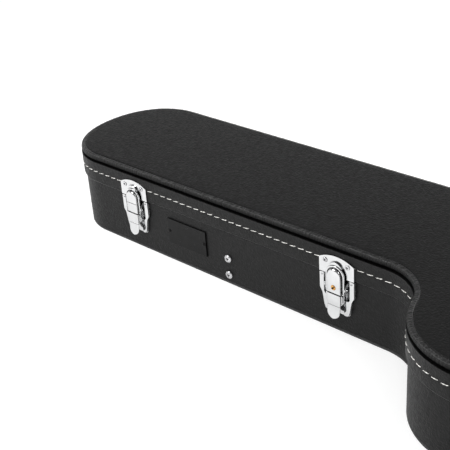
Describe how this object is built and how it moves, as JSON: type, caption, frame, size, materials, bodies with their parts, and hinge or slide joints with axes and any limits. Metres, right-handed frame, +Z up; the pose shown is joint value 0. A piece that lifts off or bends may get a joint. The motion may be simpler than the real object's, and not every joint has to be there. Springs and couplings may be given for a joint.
{
  "type": "electric guitar case",
  "caption": "Hard-shell carrier for an electric guitar: vinyl-covered tray and hinged lid with draw latches, carrying handle, padded cradles and a small lidded accessory box.",
  "frame": {"origin": "middle of the bottom face, halfway along the tray and on its centre line", "axes": "+X along the length towards the wide tail end, +Y towards the lid's hinges, -Y towards the latches and handle, +Z up through the lid"},
  "size_m": [1.0837, 0.4194, 0.1103],
  "materials": {
    "black_vinyl": "pebble-grained black vinyl glued over plywood",
    "plush_lining": "short black plush over padding",
    "covered_board": "thin board covered in black cloth",
    "chrome": "bright plated pressed steel",
    "plated_steel": "plated steel",
    "lock_brass": "warm brass, key slot across the face",
    "name_plate_plastic": "smooth black, bare",
    "handle_vinyl": "black moulded vinyl",
    "ribbon": "black woven ribbon"
  },
  "bodies": {
    "base": {"bottom_panel": "black_vinyl", "tray_wall": "black_vinyl", "tray_liner": "plush_lining", "floor_padding": "plush_lining", "body_cradle": "plush_lining", "neck_cradle": "plush_lining", "neck_side_pad": "plush_lining", "compartment_box": "covered_board", "compartment_hinge_rod": "plated_steel", "name_plate": "name_plate_plastic", "cradle_screw_front_low": "plated_steel", "cradle_screw_front_high": "plated_steel", "cradle_screw_back_low": "plated_steel", "cradle_screw_back_high": "plated_steel", "latch_1_base_plate": "chrome", "latch_1_pivot_pin": "chrome", "latch_2_base_plate": "chrome", "latch_2_pivot_pin": "chrome", "latch_3_base_plate": "chrome", "latch_3_pivot_pin": "chrome", "latch_4_base_plate": "chrome", "latch_4_pivot_pin": "chrome", "hinge_1_tray_leaf": "plated_steel", "hinge_1_pin": "plated_steel", "hinge_2_tray_leaf": "plated_steel", "hinge_2_pin": "plated_steel", "hinge_3_tray_leaf": "plated_steel", "hinge_3_pin": "plated_steel", "handle_bracket_left": "plated_steel", "handle_pin_left": "plated_steel", "handle_bracket_right": "plated_steel", "handle_pin_right": "plated_steel"},
    "lid": {"lid_wall": "black_vinyl", "lid_board": "covered_board", "lid_lining": "plush_lining", "lid_top_pad": "black_vinyl", "hinge_1_lid_leaf": "plated_steel", "hinge_2_lid_leaf": "plated_steel", "hinge_3_lid_leaf": "plated_steel", "latch_1_catch_plate": "chrome", "latch_2_catch_plate": "chrome", "latch_3_catch_plate": "chrome", "latch_4_catch_plate": "chrome"},
    "latch_1_lever_body": {"latch_1_lever": "chrome"},
    "latch_1_hasp_body": {"latch_1_hasp": "chrome"},
    "latch_2_lever_body": {"latch_2_lever": "chrome"},
    "latch_2_hasp_body": {"latch_2_hasp": "chrome"},
    "latch_3_lever_body": {"latch_3_lever": "chrome"},
    "latch_3_hasp_body": {"latch_3_hasp": "chrome"},
    "latch_4_lever_body": {"latch_4_lever": "chrome"},
    "latch_4_hasp_body": {"latch_4_hasp": "chrome"},
    "lock_body": {"lock_plug": "lock_brass"},
    "handle_body": {"handle_grip": "handle_vinyl"},
    "compartment_door_body": {"compartment_door": "plush_lining", "door_pull_tab": "ribbon"}
  },
  "joints": [
    {"name": "lid_hinge", "type": "hinge", "parent": "base", "child": "lid", "pos_m": [0.27, 0.202, 0.0714], "axis": [-1, 0, 0], "range_deg": [0, 105]},
    {"name": "latch_1_lever_turn", "type": "hinge", "parent": "base", "child": "latch_1_lever_body", "pos_m": [-0.3902, -0.0917, 0.0585], "axis": [-1, 0, 0], "range_deg": [0, 80]},
    {"name": "latch_1_hasp_turn", "type": "hinge", "parent": "latch_1_lever_body", "child": "latch_1_hasp_body", "pos_m": [-0.3902, -0.0957, 0.0535], "axis": [-1, 0, 0], "range_deg": [-104, 0]},
    {"name": "latch_2_lever_turn", "type": "hinge", "parent": "base", "child": "latch_2_lever_body", "pos_m": [-0.07707, -0.0917, 0.0585], "axis": [-1, 0, 0], "range_deg": [0, 80]},
    {"name": "latch_2_hasp_turn", "type": "hinge", "parent": "latch_2_lever_body", "child": "latch_2_hasp_body", "pos_m": [-0.07707, -0.0957, 0.0535], "axis": [-1, 0, 0], "range_deg": [-104, 0]},
    {"name": "latch_3_lever_turn", "type": "hinge", "parent": "base", "child": "latch_3_lever_body", "pos_m": [0.37, -0.1992, 0.0585], "axis": [-1, 0, 0], "range_deg": [0, 80]},
    {"name": "latch_3_hasp_turn", "type": "hinge", "parent": "latch_3_lever_body", "child": "latch_3_hasp_body", "pos_m": [0.37, -0.2032, 0.0535], "axis": [-1, 0, 0], "range_deg": [-104, 0]},
    {"name": "latch_4_lever_turn", "type": "hinge", "parent": "base", "child": "latch_4_lever_body", "pos_m": [0.5392, 0, 0.0585], "axis": [0, -1, 0], "range_deg": [0, 80]},
    {"name": "latch_4_hasp_turn", "type": "hinge", "parent": "latch_4_lever_body", "child": "latch_4_hasp_body", "pos_m": [0.5432, 0, 0.0535], "axis": [0, -1, 0], "range_deg": [-104, 0]},
    {"name": "lock_turn", "type": "hinge", "parent": "latch_2_hasp_body", "child": "lock_body", "pos_m": [-0.07707, -0.0973, 0.06], "axis": [0, -1, 0], "range_deg": [0, 90]},
    {"name": "handle_swing", "type": "hinge", "parent": "base", "child": "handle_body", "pos_m": [0.213, -0.2055, 0.048], "axis": [-1, 0, 0], "range_deg": [0, 150]},
    {"name": "compartment_door_hinge", "type": "hinge", "parent": "base", "child": "compartment_door_body", "pos_m": [-0.13078, 0.0709, 0.0564], "axis": [-1, 0, 0], "range_deg": [0, 90]}
  ],
  "couplings": [
    {"joint": "latch_1_hasp_turn", "follows": "latch_1_lever_turn", "ratio": -1.3},
    {"joint": "latch_2_hasp_turn", "follows": "latch_2_lever_turn", "ratio": -1.3},
    {"joint": "latch_3_hasp_turn", "follows": "latch_3_lever_turn", "ratio": -1.3},
    {"joint": "latch_4_hasp_turn", "follows": "latch_4_lever_turn", "ratio": -1.3}
  ]
}
